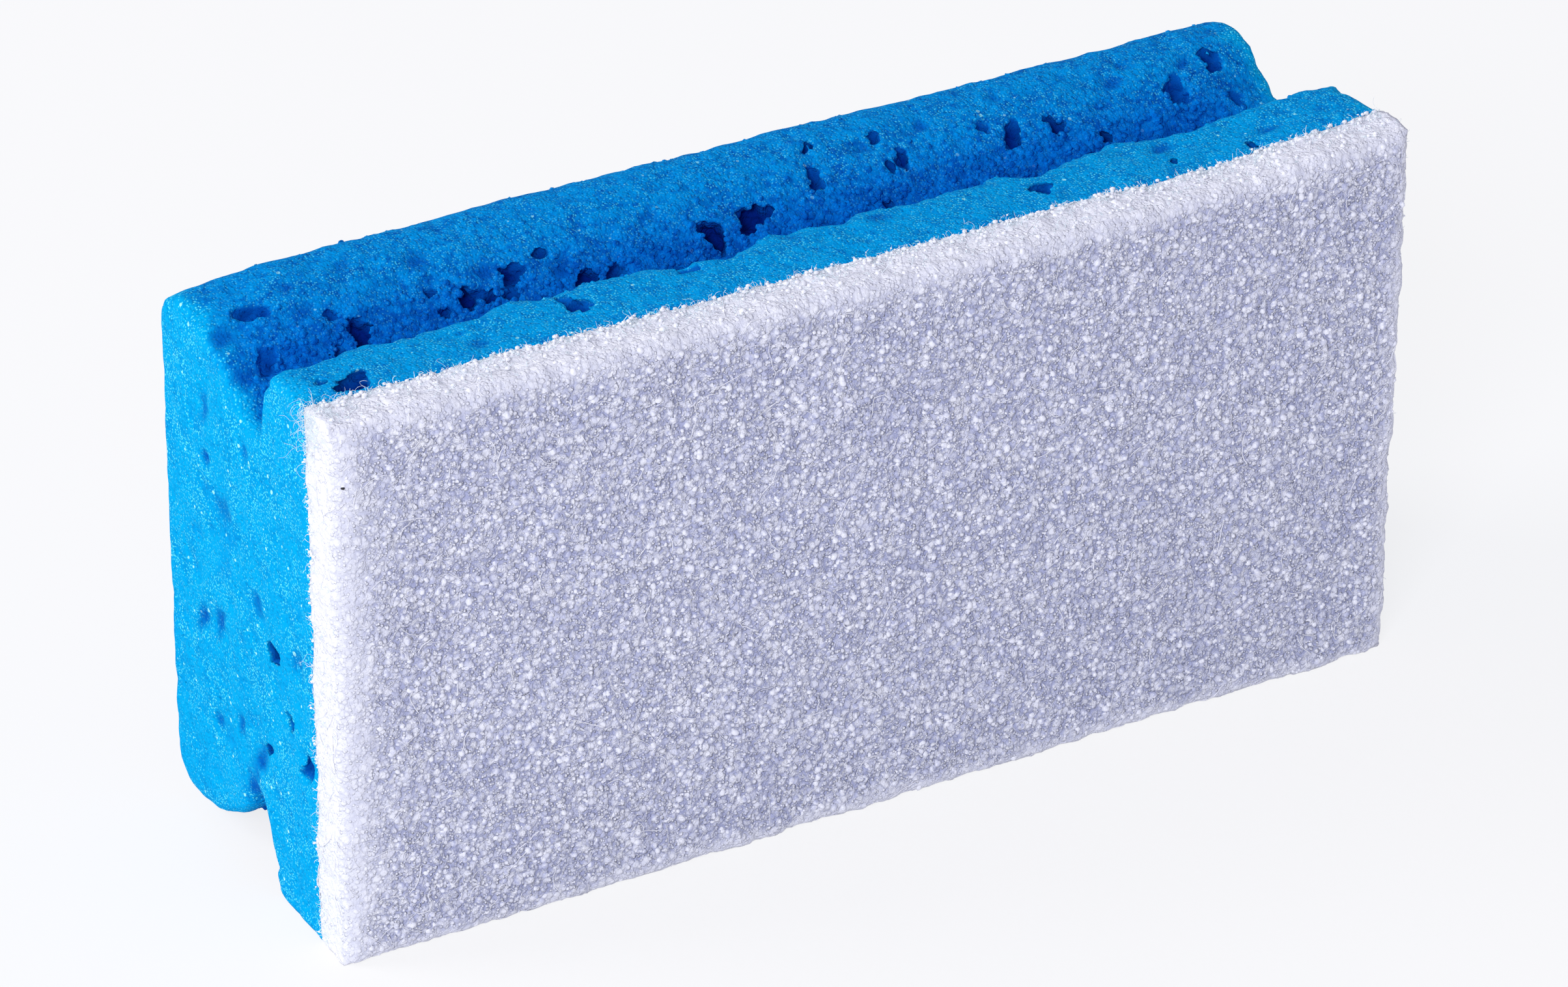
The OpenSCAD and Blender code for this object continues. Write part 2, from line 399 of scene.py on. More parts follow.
class Section:
    """The foam's section, the same from end to end, as distances across (y) and up (z).

    Across come the front at the pad, the groove's mouth, the foot of the slab's wall, the far
    side of that foot, the crest of the grip, and the back."""

    def __init__(self, look):
        self.low, self.high = FOAM_LOW.z, FOAM_HIGH.z
        self.front, self.back = FOAM_LOW.y, FOAM_HIGH.y
        self.groove_d, self.back_r = look.groove_d, look.back_r
        self.mouth = self.front + look.slab_t
        self.foot = self.mouth + look.wall_lean
        self.far = self.foot + look.foot_w
        self.crest = self.back - look.back_r
        run = self.crest - self.far
        self.shoulder_r = (run ** 2 + look.groove_d ** 2) / (2 * look.groove_d)
        self.shoulder_end = math.asin(run / self.shoulder_r)

    def on_shoulder(self, x, y, upper):
        """A point of the upper or lower shoulder, with the way out of the foam there."""
        lean = math.asin((self.crest - y) / self.shoulder_r)
        drop = self.shoulder_r * (1 - math.cos(lean))
        if upper:
            return Vector((x, y, self.high - drop)), Vector((0, -math.sin(lean), math.cos(lean)))
        return Vector((x, y, self.low + drop)), Vector((0, -math.sin(lean), -math.cos(lean)))

    def groove_share(self, p):
        """0 at the ends, under a third on the slab, a half on the grip, and 1 down in a groove. The
        finish darkens the foam by it as painted shade, and the finer waves and the knobs follow it too.
        """
        from_end = FOAM_HIGH.x - abs(p.x)
        side = ease((from_end + ripple(p, 4 * MM, 2 * MM)) / (3.2 * MM))
        below = min(self.high - p.z, p.z - self.low)
        across = ease((p.y - self.mouth + 0.5 * MM) / (2 * MM)) * ease((self.crest - p.y) / (3 * MM))
        fade = (8 if p.x < 0 else 14) * MM
        inward = ease((from_end + 1 * MM) / fade)
        plain = 0.30 + 0.24 * ease((p.y - self.mouth) / (3 * MM))
        return side * (plain + (1 - plain) * across * inward * ease(below / (5 * MM)))

    def lower_half(self, steps=14):
        """From the pad along the slab's lower edge, the groove, the shoulder and the back's rounding."""
        points = [(self.front, self.low), (self.mouth, self.low), (self.foot, self.low + self.groove_d)]
        turns = [(self.shoulder_r, self.shoulder_end * (i / steps - 1)) for i in range(steps + 1)]
        turns += [(self.back_r, math.pi / 2 * i / steps) for i in range(1, steps + 1)]
        for r, turn in turns:
            points.append((self.crest + r * math.sin(turn), self.low + r * (1 - math.cos(turn))))
        return points

    def outline(self):
        lower = self.lower_half()
        upper = [(y, self.low + self.high - z) for y, z in reversed(lower)]
        return lower + upper


def new_object(name, data):
    piece = bpy.data.objects.new(name, data)
    bpy.context.scene.collection.objects.link(piece)
    return piece


def mesh_from(bm, name):
    mesh = bpy.data.meshes.new(name)
    bm.to_mesh(mesh)
    bm.free()
    return mesh


def applied(piece):
    """Swaps a piece's mesh for the one that its modifiers make."""
    graph = bpy.context.evaluated_depsgraph_get()
    mesh = bpy.data.meshes.new_from_object(piece.evaluated_get(graph))
    old = piece.data
    piece.modifiers.clear()
    piece.data = mesh
    bpy.data.meshes.remove(old)
    return piece


def voxels(piece, size):
    """Builds a piece anew from an even mesh, in which shapes that meet are one."""
    remesh = piece.modifiers.new("even", "REMESH")
    remesh.mode = "VOXEL"
    remesh.voxel_size = size
    remesh.use_smooth_shade = True
    return applied(piece)


def attribute(piece, name, values):
    """Gives a piece one number per vertex, for its finish to read."""
    layer = piece.data.attributes.new(name, "FLOAT", "POINT")
    layer.data.foreach_set("value", values)


def foam_solid(section):
    """The plain block with its two grooves."""
    bm = bmesh.new()
    rim = [bm.verts.new((FOAM_LOW.x, y, z)) for y, z in section.outline()]
    end = bm.faces.new(rim)
    grown = bmesh.ops.extrude_face_region(bm, geom=[end])["geom"]
    verts = [item for item in grown if isinstance(item, bmesh.types.BMVert)]
    bmesh.ops.translate(bm, verts=verts, vec=(FOAM_HIGH.x - FOAM_LOW.x, 0, 0))
    bmesh.ops.recalc_face_normals(bm, faces=bm.faces)
    return new_object("foam_skin", mesh_from(bm, "foam_skin"))


def slab_edge(p, section):
    """How a point near one of the slab's rear edges moves across and down.

    The cut has torn the edges, and the upper one's wall leans out at both ends."""
    upper = p.z > (section.low + section.high) / 2
    level = section.high if upper else section.low
    away = math.hypot(p.y - section.mouth, p.z - level)
    # The last number of each place only picks another part of the noise
    ragged = ripple((p.x, level, 0.0), 9 * MM, 1.7 * MM) + ripple((p.x, p.z, 0.02), 3 * MM, 1.1 * MM)
    ragged += ripple((p.x, p.z, 0.04), 1.3 * MM, 0.9 * MM)
    # The photograph shows one bulge and one notch in the upper edge
    bulge = hump(p.x, -29 * MM, 6 * MM, 1.8 * MM)
    notch = hump(p.x, -14 * MM, 4 * MM, 1.6 * MM)
    across = ease(1 - away / (5 * MM)) * (ragged + (bulge - notch if upper else 0.0))
    below = abs(level - p.z) / section.groove_d
    on_wall = ease(1 - abs(p.y - section.mouth - below * (section.foot - section.mouth)) / (4 * MM))
    at_end = ease(1 - (FOAM_HIGH.x - abs(p.x)) / (5 * MM))
    if upper:
        across -= 1.1 * MM * on_wall * at_end * ease(3.0 - 2 * below)
    fall = ease(1 - away / (3 * MM)) * (0.5 * MM + abs(ripple((p.x, level, 0.05), 4 * MM, 1.3 * MM)))
    return Vector((0, across, -fall if upper else fall))


def rise(p):
    """How far the upper right corner of the pad and the slab stands up."""
    right = ease((p.x - 45 * MM) / (28.5 * MM))
    top = ease(1 - (FOAM_HIGH.z - p.z) / (30 * MM))
    return 1.5 * MM * right * top


def sag(p, section):
    """How the block has gone out of square: the slab's and the grip's corners at each end."""
    right = ease((p.x - 62 * MM) / (11.5 * MM))
    left = ease((-25 * MM - p.x) / (48.5 * MM))
    left_corner = ease((-61 * MM - p.x) / (12.5 * MM))
    top = ease(1 - (section.high - p.z) / (12 * MM))
    bottom = ease(1 - (p.z - section.low) / (30 * MM))
    slab = ease((section.foot - p.y) / (4 * MM))
    grip = ease((p.y - section.mouth) / (4 * MM))
    down = (section.crest - p.y) / (section.crest - section.far)
    # At the right end the shoulder is scooped out, and the groove's foot a little too
    scoop = hump(down, 0.62, 0.22, 2.6 * MM) + hump(down, 1.1, 0.14, 1.2 * MM)
    lower = right * scoop + 1.3 * MM * left_corner * grip
    return Vector((0, 0, rise(p) * slab + 2.3 * MM * left * bottom * grip - lower * top))


def soften(bm, verts):
    bmesh.ops.smooth_vert(
        bm, verts=verts, factor=0.5, use_axis_x=True, use_axis_y=True, use_axis_z=True)


def ruffle(piece, section, softness):
    """Moves the cut skin as real foam lies: soft edges, slow waves, dimples and a torn slab edge."""
    bm = bmesh.new()
    bm.from_mesh(piece.data)
    loose = [v for v in bm.verts if v.co.y > section.front + 1.3 * MM]
    for _ in range(softness):
        soften(bm, loose)
    bm.normal_update()
    for v in bm.verts:
        p = v.co.copy()
        # Waves of three sizes, of which the finest is strongest in the grooves, and dimples
        lift = 0.25 * MM + ripple(p, 15 * MM, 0.25 * MM) + ripple(p, 4.2 * MM, 0.2 * MM)
        lift += ripple(p, 1.7 * MM, (0.12 + 0.2 * section.groove_share(p)) * MM)
        near, centres = noise.voronoi(p / (2.7 * MM))
        dimpled = noise.cell(centres[0] * 7.7) > -0.1
        if dimpled:
            lift -= 0.55 * MM * max(0.0, 1 - (near[0] / 0.40) ** 2)
        glued = p.y < section.front + 0.3 * MM
        if glued:
            lift = 0.0
        v.co = p + v.normal * lift + slab_edge(p, section) + sag(p, section)
        v.co.z = max(v.co.z, section.low)
        v.co.y = section.front if glued else max(v.co.y, section.front)
    bm.to_mesh(piece.data)
    bm.free()


class Cell:
    """One coarse cell: a rough hollow in the skin at place, which opens along outward."""

    def __init__(self, place, outward, radius, stretch, turn, depth):
        self.place, self.outward = place, outward
        self.radius, self.stretch, self.depth = radius * MM, stretch, depth * MM
        upright = outward.to_track_quat("Z", "Y").to_matrix().to_4x4()
        self.at = Matrix.Translation(place) @ upright @ Matrix.Rotation(math.radians(turn), 4, "Z")

    @property
    def shallow(self):
        """A cell this shallow is pressed in, and the others are cut."""
        return self.depth < 0.95 * MM

    def carve(self, bm, rng):
        """Adds the shape that cuts the cell, with smaller cells broken into its rim."""
        lobes = [(Vector((0, 0, 0)), 1.0)]
        for _ in range(rng.randint(3, 6) if self.radius > 0.9 * MM else rng.randint(1, 2)):
            way = rng.uniform(0, math.tau)
            beside = Vector((self.stretch * math.cos(way), math.sin(way), 0)) * self.radius * 0.9
            lobes.append((beside, rng.uniform(0.25, 0.6)))
        for offset, share in lobes:
            made = bmesh.ops.create_icosphere(bm, subdivisions=2, radius=1.0)["verts"]
            seed = noise_place(rng)
            for v in made:
                v.co *= 1 + 0.36 * noise.noise(v.co * 1.5 + seed) + 0.24 * noise.noise(v.co * 3.6 + seed)
            across, up = self.radius * share * self.stretch, self.radius * share
            shape = Matrix.Diagonal((across, up, self.depth * share, 1))
            sink = Matrix.Translation(offset - Vector((0, 0, 0.25 * self.depth * share)))
            bmesh.ops.transform(bm, verts=made, matrix=self.at @ sink @ shape)

    def press(self, verts, tree, rng):
        """Presses the cell into the skin as a soft hollow."""
        seed = noise_place(rng)
        back = self.at.inverted()
        for place, index, _ in tree.find_range(self.place, 2 * self.radius * self.stretch):
            local = back @ place
            local.x /= self.radius * self.stretch
            local.y /= self.radius
            away = math.hypot(local.x, local.y) * (1 + 0.7 * noise.noise(place / (1.3 * MM) + seed))
            verts[index].co -= self.outward * 0.7 * self.depth * math.exp(-away ** 3)


def shown_cells(section):
    """The coarse cells that the photograph shows."""
    for x, y, *rest in SHOULDER_CELLS:
        yield Cell(*section.on_shoulder(x * MM, FRONT_Y + y * MM, True), *rest)
    for x, y, *rest in SLAB_CELLS:
        yield Cell(Vector((x * MM, FRONT_Y + y * MM, section.high)), Vector((0, 0, 1)), *rest)
    for y, z, *rest in END_CELLS:
        yield Cell(Vector((FOAM_LOW.x, FRONT_Y + y * MM, z * MM)), Vector((-1, 0, 0)), *rest)


def scattered_cells(section, rng):
    """Seeded coarse cells on the faces that the photograph hides, and small ones on the rest."""
    reach = FOAM_HIGH.x - 2 * MM
    edge = 6 * MM
    inner = section.front + 2 * MM

    def along():
        return rng.uniform(-reach, reach)

    def shoulder(upper):
        return section.on_shoulder(along(), rng.uniform(section.far, section.crest), upper)

    def slab(level, up):
        return Vector((along(), rng.uniform(inner, section.mouth), level)), Vector((0, 0, up))

    def end(side):
        z = rng.uniform(section.low + 2 * edge, section.high - 2 * edge)
        return Vector((side * FOAM_HIGH.x, rng.uniform(inner, section.crest), z)), Vector((side, 0, 0))

    def back():
        z = rng.uniform(section.low + edge, section.high - edge)
        return Vector((along(), section.back, z)), Vector((0, 1, 0))

    # How many, their middling radius in millimetres, and where they lie
    for count, size, spot, where in (
            (34, 1.3, shoulder, (False,)), (70, 0.6, shoulder, (True,)), (42, 1.2, back, ()),
            (18, 1.2, end, (1,)), (16, 0.55, end, (-1,)), (16, 0.8, slab, (section.low, -1)),
            (22, 0.5, slab, (section.high, 1))):
        for _ in range(count):
            radius = size * rng.choice((0.5, 0.6, 0.8, 1.0, 1.5))
            place, outward = spot(*where)
            stretch = rng.uniform(1, 1.7)
            turn = rng.uniform(0, 180)
            yield Cell(place, outward, radius, stretch, turn, radius * rng.uniform(0.6, 1.5))


def cut_cells(foam, section):
    """Presses the shallow cells into the foam's skin, and cuts the others out of it."""
    rng = random.Random(7)
    cells = [*shown_cells(section), *scattered_cells(section, rng)]
    tree = KDTree(len(foam.data.vertices))
    for v in foam.data.vertices:
        tree.insert(v.co, v.index)
    tree.balance()
    cutters = bmesh.new()
    for cell in cells:
        if cell.shallow:
            cell.press(foam.data.vertices, tree, rng)
        else:
            cell.carve(cutters, rng)
    # No cell reaches the glued face
    for v in cutters.verts:
        v.co.y = max(v.co.y, section.front + 0.9 * MM)
    cutter = voxels(new_object("cells", mesh_from(cutters, "cells")), 0.32 * MM)
    # This noise alone starts from the clock unless it gets a seed
    noise.seed_set(5)
    for v in cutter.data.vertices:
        v.co += 0.5 * MM * noise.noise_vector(v.co / (0.9 * MM))
    cut = foam.modifiers.new("cells", "BOOLEAN")
    cut.operation = "DIFFERENCE"
    cut.solver = "MANIFOLD"
    cut.object = cutter
    applied(foam)
    bpy.data.meshes.remove(cutter.data)


def mend(foam, section):
    """Clears slivers off the cut mesh, makes its glued side one flat face and softens the rims."""
    bm = bmesh.new()
    bm.from_mesh(foam.data)
    bmesh.ops.dissolve_degenerate(bm, dist=0.05 * MM, edges=bm.edges)
    glued = section.front + 0.001 * MM
    flat = [face for face in bm.faces if all(v.co.y < glued for v in face.verts)]
    bmesh.ops.dissolve_faces(bm, faces=flat, use_verts=True)
    bmesh.ops.triangulate(bm, faces=[face for face in bm.faces if len(face.verts) > 4])
    soften(bm, [v for v in bm.verts if v.co.y > section.front + 0.5 * MM])
    bm.to_mesh(foam.data)
    bm.free()


def foam_piece(look):
    """The foam block, and its skin from before the cells, to measure their depth from."""
    section = Section(look)
    foam = voxels(foam_solid(section), look.mesh_size)
    ruffle(foam, section, look.softness)
    skin = bmesh.new()
    skin.from_mesh(foam.data)
    untouched = BVHTree.FromBMesh(skin)
    skin.free()
    cut_cells(foam, section)
    mend(foam, section)
    foam.name = "foam_body"
    foam.data.name = "foam_body"
    foam_skin(foam, section, untouched, look)
    return foam, untouched


def foam_skin(piece, section, untouched, look):
    """Gives a piece of foam its finish, and the numbers that the finish reads."""
    places = [v.co.copy() for v in piece.data.vertices]
    attribute(piece, "cell_depth", [untouched.find_nearest(p)[3] / MM for p in places])
    attribute(piece, "groove_share", [section.groove_share(p) for p in places])
    piece.data.shade_smooth()
    piece.data.materials.clear()
    piece.data.materials.append(foam_finish(look))


def oval(radius, stretch):
    """The shape of a ball that is longer one way."""
    return Matrix.Diagonal((radius * stretch, radius, radius, 1))


def balls(name, spots):
    """One piece made of many small rough balls, from pairs of a place and a shape."""
    whole = bmesh.new()
    # A mesh takes each new ball more slowly than the last, so they are made in batches
    batch = 300
    for start in range(0, len(spots), batch):
        bm = bmesh.new()
        for place, shape in spots[start:start + batch]:
            at = Matrix.Translation(place) @ shape
            bmesh.ops.create_icosphere(bm, subdivisions=1, radius=1.0, matrix=at)
        part = mesh_from(bm, "batch")
        whole.from_mesh(part)
        bpy.data.meshes.remove(part)
    piece = new_object(name, mesh_from(whole, name))
    piece.data.shade_smooth()
    return piece


def foam_knobs(look, body, untouched):
    """Torn cell walls that stand up as small knobs, in the grooves and on the slab's torn edge."""
    section = Section(look)
    rng = random.Random(5)
    share = body.data.attributes["groove_share"].data
    depth = body.data.attributes["cell_depth"].data
    faces, weights = [], []
    for face in body.data.polygons:
        first = face.vertices[0]
        away = (face.center.yz - Vector((section.mouth, section.high))).length
        torn = max(share[first].value, 1 - away / (2.5 * MM))
        clear_of_pad = face.center.y > section.front + 0.6 * MM
        outside_cells = depth[first].value < 0.4
        if clear_of_pad and outside_cells:
            faces.append((face, torn))
            weights.append(face.area * max(torn - 0.4, 0.0) ** 2)
    spots = []
    for face, torn in rng.choices(faces, weights, k=look.knobs):
        corners = [body.data.vertices[i].co for i in face.vertices]
        place = corners[0].lerp(corners[1], rng.random()).lerp(corners[2], rng.random())
        radius = MM * rng.choice((0.25, 0.3, 0.36, 0.42, 0.5))
        place = place + face.normal * radius * (rng.uniform(-1.1, -0.5) + 0.6 * torn ** 2)
        place.z = max(place.z, section.low + 1.5 * radius)
        turn = Matrix.Rotation(rng.uniform(0, math.tau), 4, any_way(rng))
        spots.append((place, turn @ oval(radius, rng.uniform(1, 1.5))))
    piece = balls("foam_knobs", spots)
    foam_skin(piece, section, untouched, look)
    return piece


class PadFace:
    """The pad's shape: where its face lies for a point of its outline box."""

    def __init__(self, look):
        self.look = look
        self.skin = None
        self.middle = (PAD_LOW + PAD_HIGH) / 2
        self.half = (PAD_HIGH - PAD_LOW) / 2

    def inset(self, x, z):
        """How far a point of the face lies from the edge, with rounded corners."""
        dx = self.half.x - abs(x - self.middle.x)
        dz = self.half.z - abs(z - self.middle.z)
        corner_r = 2 * MM
        if dx < corner_r and dz < corner_r:
            return corner_r - math.hypot(corner_r - dx, corner_r - dz)
        return min(dx, dz)

    def y(self, x, z):
        """Where the face lies, which falls back towards its edge."""
        part = min(max(self.inset(x, z) / self.look.edge_reach, 0), 1)
        return PAD_LOW.y + self.look.edge_depth * (1 - math.sqrt(1 - (1 - part) ** 2))

    def edge_share(self, p):
        """1 or nearly on the sides, and fading to 0 over the pale band round the face.

        In the photograph the band is widest at the left. Its whiteness is partly the bare fibre and
        partly painted light: the band is widened on the left, where the light falls, and the left side
        is whitest."""
        if p.y > PAD_LOW.y + self.look.edge_depth:
            # Painted light: the lit left side is the whitest
            at_left = p.x < 0 and self.half.x - abs(p.x) < 0.1 * MM
            return 1.0 if at_left else 0.92
        pale = self.look.pale_lit_edge * (1 + 0.6 * noise.noise(p / (5 * MM)))
        from_edge = min(max(self.inset(p.x, p.z), 0), (p.x - PAD_LOW.x) / 2.4)
        return 0.85 * math.exp(-(from_edge / pale) ** 2)


def settle(piece):
    """Lifts a piece of the pad by as much as the pad's upper right corner stands up."""
    for v in piece.data.vertices:
        v.co.z += rise(v.co)


def pad_box(look, face):
    """The pad's plain shape, and the way out of the pad at each of its vertices."""
    steps_x = round(2 * face.half.x / look.mesh_size)
    steps_z = round(2 * face.half.z / look.mesh_size)
    bm = bmesh.new()
    bmesh.ops.create_grid(bm, x_segments=steps_x, y_segments=steps_z, size=1.0)
    bmesh.ops.transform(bm, verts=bm.verts, matrix=(
        Matrix.Translation((face.middle.x, PAD_LOW.y, face.middle.z))
        @ Matrix.Rotation(math.pi / 2, 4, "X")
        @ Matrix.Diagonal((face.half.x, face.half.z, 1, 1))))
    for v in bm.verts:
        v.co.y = face.y(v.co.x, v.co.z)
    depth = PAD_HIGH.y - PAD_LOW.y - look.edge_depth
    rows = round(depth / (1.2 * look.mesh_size))
    rim = [e for e in bm.edges if e.is_boundary]
    for _ in range(rows):
        grown = bmesh.ops.extrude_edge_only(bm, edges=rim)["geom"]
        rim = [item for item in grown if isinstance(item, bmesh.types.BMEdge)]
        verts = [item for item in grown if isinstance(item, bmesh.types.BMVert)]
        bmesh.ops.translate(bm, verts=verts, vec=(0, depth / rows, 0))
    # The ways are taken before the back is closed, so that none of them leans backward
    bm.normal_update()
    ways = [v.normal.copy() for v in bm.verts]
    bmesh.ops.contextual_create(bm, geom=rim)
    bmesh.ops.recalc_face_normals(bm, faces=bm.faces)
    return bm, ways


def pad_body(look, face):
    """The pad's felt, rough all over; the other pieces of the pad are set on its skin."""
    bm, ways = pad_box(look, face)
    shares = [face.edge_share(v.co) for v in bm.verts]
    for v, share, way in zip(bm.verts, shares, ways):
        p = v.co.copy()
        # Waves of three sizes, beads about a millimetre apart, and the swell of the pale edge
        lift = ripple(p, 9 * MM, 0.35 * MM) + ripple(p, 2.4 * MM, 0.3 * MM)
        lift += ripple(p, 0.9 * MM, 0.3 * MM) * (1.2 - share)
        near = noise.voronoi(p / (1.05 * MM))[0][0]
        lift += 0.36 * MM * max(0.0, 1 - near * 1.7) * (1.1 - 0.6 * share) + 0.25 * MM * share
        v.co = p + way * lift
        v.co.y = min(v.co.y, PAD_HIGH.y) if p.y < PAD_HIGH.y - 0.01 * MM else PAD_HIGH.y
        v.co.z = max(v.co.z, PAD_LOW.z)
    face.skin = BVHTree.FromBMesh(bm)
    piece = new_object("pad_body", mesh_from(bm, "pad_body"))
    attribute(piece, "edge_share", shares)
    piece.data.shade_smooth()
    piece.data.materials.append(felt_finish(look))
    return piece


def on_pad(face, rng):
    """A seeded point on the pad's face or its four sides, with the way out of the pad."""
    sides = (PAD_HIGH.y - PAD_LOW.y) * 4 * (face.half.x + face.half.z)
    if rng.random() * (4 * face.half.x * face.half.z + sides) > sides:
        x = face.middle.x + rng.uniform(-1, 1) * face.half.x
        z = face.middle.z + rng.uniform(-1, 1) * face.half.z
        return on_skin(face, Vector((x, face.y(x, z), z)), Vector((0, -1, 0)))
    return on_side(face, rng, rng.uniform(PAD_LOW.y + face.look.edge_depth, PAD_HIGH.y), (-1, 1))


def on_side(face, rng, y, ups):
    """A seeded point at y on one of the pad's sides, with the way out of the pad."""
    if rng.random() * (face.half.x + face.half.z) < face.half.x:
        up = rng.choice(ups)
        x = face.middle.x + rng.uniform(-1, 1) * (face.half.x - 0.5 * MM)
        return on_skin(face, Vector((x, y, face.middle.z + up * face.half.z)), Vector((0, 0, up)))
    out = rng.choice((-1, 1))
    z = face.middle.z + rng.uniform(-1, 1) * (face.half.z - 0.5 * MM)
    return on_skin(face, Vector((face.middle.x + out * face.half.x, y, z)), Vector((out, 0, 0)))


def on_skin(face, place, outward):
    """The point of the rough skin nearest to a point of the plain one."""
    return face.skin.find_nearest(place + outward * 0.4 * MM)[0], outward


def pad_nodules(look, face, drops):
    """Drops of binder where fibres cross: small rough beads, half sunk in the pad or on its fuzz."""
    rng = random.Random(11)
    spots = []
    while len(spots) < look.nodules:
        place, outward = on_pad(face, rng)
        if rng.random() < 0.75 * face.edge_share(place):
            continue
        radius = MM * rng.choice((0.13, 0.17, 0.2, 0.24, 0.3, 0.37, 0.46))
        place -= outward * radius * rng.uniform(0.1, 0.8)
        place.z = max(place.z, PAD_LOW.z + 1.5 * radius)
        turn = Matrix.Rotation(rng.uniform(0, math.tau), 4, "Y")
        spots.append((place, turn @ oval(radius, rng.uniform(0.8, 1.5))))
    for place in rng.sample(drops, look.drops):
        radius = MM * rng.choice((0.1, 0.13, 0.17, 0.22, 0.28))
        if abs(place.x) >= face.half.x:
            radius *= 0.6
        spots.append((place, oval(radius, rng.uniform(1, 1.6))))
    piece = balls("pad_nodules", spots)
    attribute(piece, "edge_share", [face.edge_share(v.co) for v in piece.data.vertices])
    piece.data.materials.append(fibre_finish(look, "binder", look.fibre, 0.25, 0.85))
    return piece


def pad_crumb(face):
    """The one dark crumb caught in the pad, near its left edge."""
    place, _ = on_skin(face, Vector((PAD_LOW.x + 0.95 * MM, PAD_LOW.y, 64.1 * MM)), Vector((0, -1, 0)))
    bm = bmesh.new()
    bmesh.ops.create_icosphere(bm, subdivisions=3, radius=1.0)
    for v in bm.verts:
        v.co *= 1 + ripple(v.co, 0.6, 0.3)
    at = Matrix.Translation(place) @ Matrix.Diagonal((0.26 * MM, 0.2 * MM, 0.18 * MM, 1))
    bmesh.ops.transform(bm, verts=bm.verts, matrix=at)
    piece = new_object("crumb", mesh_from(bm, "crumb"))
    piece.data.shade_smooth()
    piece.data.materials.append(crumb_finish())
    return piece


def curl(start, heading, length, bend, rng, steps, rest=None):
    """Points of one fibre, whose heading keeps turning about a slowly changing axis.

    It stays near the plane across rest, if one is given."""
    points = [start.copy()]
    axis = any_way(rng)
    heading = heading.normalized()
    for _ in range(steps):
        axis = (axis + 0.25 * any_way(rng)).normalized()
        turn = Matrix.Rotation(bend * rng.uniform(0.5, 1.5) / steps, 3, axis)
        heading = (turn @ heading).normalized()
        if rest is not None:
            heading = (heading - 0.6 * rest * heading.dot(rest)).normalized()
        points.append(points[-1] + heading * length / steps)
    return points


def fibres(name, look, colour, strands):
    """One piece made of thin three-sided tubes, from pairs of a strand's points and its thickness."""
    sides = 3
    ring = bpy.data.curves.new("ring", "CURVE")
    loop = ring.splines.new("POLY")
    loop.points.add(sides - 1)
    for i, knot in enumerate(loop.points):
        turn = math.tau * i / sides
        knot.co = (look.fibre_r * math.cos(turn), look.fibre_r * math.sin(turn), 0, 1)
    loop.use_cyclic_u = True
    profile = new_object("ring", ring)
    tubes = bpy.data.curves.new(name, "CURVE")
    tubes.dimensions = "3D"
    tubes.bevel_mode = "OBJECT"
    tubes.bevel_object = profile
    tubes.use_fill_caps = True
    for points, thickness in strands:
        line = tubes.splines.new("POLY")
        line.points.add(len(points) - 1)
        for knot, place in zip(line.points, points):
            knot.co = (*place, 1)
            knot.radius = thickness
        line.points[-1].radius = 0.5 * thickness
    holder = new_object("tubes", tubes)
    graph = bpy.context.evaluated_depsgraph_get()
    mesh = bpy.data.meshes.new_from_object(holder.evaluated_get(graph))
    for used in (holder, profile):
        bpy.data.objects.remove(used)
    for used in (tubes, ring):
        bpy.data.curves.remove(used)
    piece = new_object(name, mesh)
    piece.data.name = name
    piece.data.shade_smooth()
    piece.data.materials.clear()
    piece.data.materials.append(fibre_finish(look, name + "_white", colour, 0.6))
    return piece


def pad_fringe(look, face):
    """Curled fibres that stand off the pad's cut sides, and long loops at its upper corners.

    Also returns places on the curls where a drop of binder may sit."""
    rng = random.Random(23)
    strands = []

    def add(spot, count, lengths, turns, steps, thickness):
        """Adds fibres that start at spots; lengths are in millimetres and turns in whole ones."""
        wanted = len(strands) + count
        while len(strands) < wanted:
            place, outward = spot()
            heading = 0.7 * outward + Vector((0, rng.uniform(0, 0.9), 0)) + any_way(rng)
            length = MM * rng.uniform(*lengths)
            points = curl(place, heading, length, math.tau * rng.uniform(*turns), rng, steps)
            if min(point.z for point in points) > PAD_LOW.z + 0.1 * MM:
                strands.append((points, thickness * rng.uniform(0.7, 1.3)))

    def rim():
        """Mostly at the line where the pad meets the foam."""
        y = rng.uniform(PAD_LOW.y + look.edge_depth, PAD_HIGH.y)
        by_foam = rng.random() < 0.75
        if by_foam:
            y = PAD_HIGH.y - abs(rng.gauss(0, 0.9 * MM))
        return on_side(face, rng, y, (1,))

    def corner():
        """Mostly at the upper left corner, a few at the right one."""
        side = 1 if rng.random() < 0.08 else -1
        away = abs(rng.gauss(0, 3.2 * MM))
        y = PAD_HIGH.y - abs(rng.gauss(0, 1.6 * MM))
        on_end = rng.random() < 0.7
        if on_end:
            place = Vector((side * face.half.x, y, PAD_HIGH.z - away))
            return on_skin(face, place, Vector((side, 0.2, 0)))
        place = Vector((side * (face.half.x - away), y, PAD_HIGH.z))
        return on_skin(face, place, Vector((0, 0.2, 1)))

    add(rim, look.fuzz, lengths=(0.5, 1.4), turns=(0.3, 1.3), steps=5, thickness=1.0)
    drops = [points[1 + i % 3] for i, (points, _) in enumerate(strands)]
    add(rim, look.loops, lengths=(1.5, 3.5), turns=(0.7, 1.5), steps=16, thickness=0.7)
    add(corner, look.loops, lengths=(2.0, 6.0), turns=(0.9, 1.8), steps=20, thickness=0.65)
    return fibres("pad_fringe", look, look.stray_foam_lit, strands), drops


